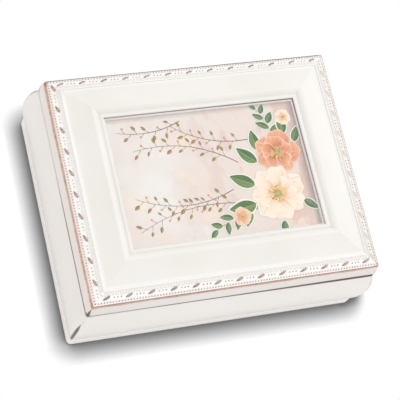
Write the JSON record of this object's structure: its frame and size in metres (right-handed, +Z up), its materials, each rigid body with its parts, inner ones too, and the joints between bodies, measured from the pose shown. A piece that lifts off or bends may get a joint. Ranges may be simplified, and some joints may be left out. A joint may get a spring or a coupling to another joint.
{
  "type": "keepsake box",
  "caption": "Ivory keepsake box with bombe walls and a hinged picture-frame lid: bead-and-lozenge border, rubbed copper edges, a glazed floral card and a velvet-lined inside.",
  "frame": {"origin": "centre of the box's footprint on the table, z = 0 under the felt pads", "axes": "X left to right across the front, Y from the front to the hinged back, Z up"},
  "size_m": [0.161, 0.1286, 0.0619],
  "materials": {
    "ivory_finish": "moulded wood composite, painted ivory, satin, with copper rubbed along the edges",
    "hardboard": "brown hardboard, matt",
    "felt": "pressed felt",
    "soft_rubber": "pale, matt",
    "velvet": "short-pile velvet",
    "hinge_brass": "satin",
    "clear_pane": "clear sheet, polished",
    "printed_card": "printed card, blush wash with blossoms",
    "greyboard": "plain greyboard"
  },
  "bodies": {
    "box": {"base_shell": "ivory_finish", "bottom_panel": "hardboard", "foot_pads": "felt", "rim_bumpers": "soft_rubber", "lining_floor": "velvet", "lining_front": "velvet", "lining_back": "velvet", "lining_left": "velvet", "lining_right": "velvet", "hinge_leaf_lower_left": "hinge_brass", "hinge_leaf_lower_right": "hinge_brass", "hinge_pin_left": "hinge_brass", "hinge_pin_right": "hinge_brass", "hinge_screws_lower": "hinge_brass"},
    "lid": {"lid_frame": "ivory_finish", "pane": "clear_pane", "picture_card": "printed_card", "backing_board": "greyboard", "lid_lining": "velvet", "hinge_leaf_upper_left": "hinge_brass", "hinge_leaf_upper_right": "hinge_brass", "hinge_screws_upper": "hinge_brass"}
  },
  "joints": [
    {"name": "lid_hinge", "type": "hinge", "parent": "box", "child": "lid", "pos_m": [0, 0.05985, 0.04415], "axis": [-1, 0, 0], "range_deg": [0, 98]}
  ]
}
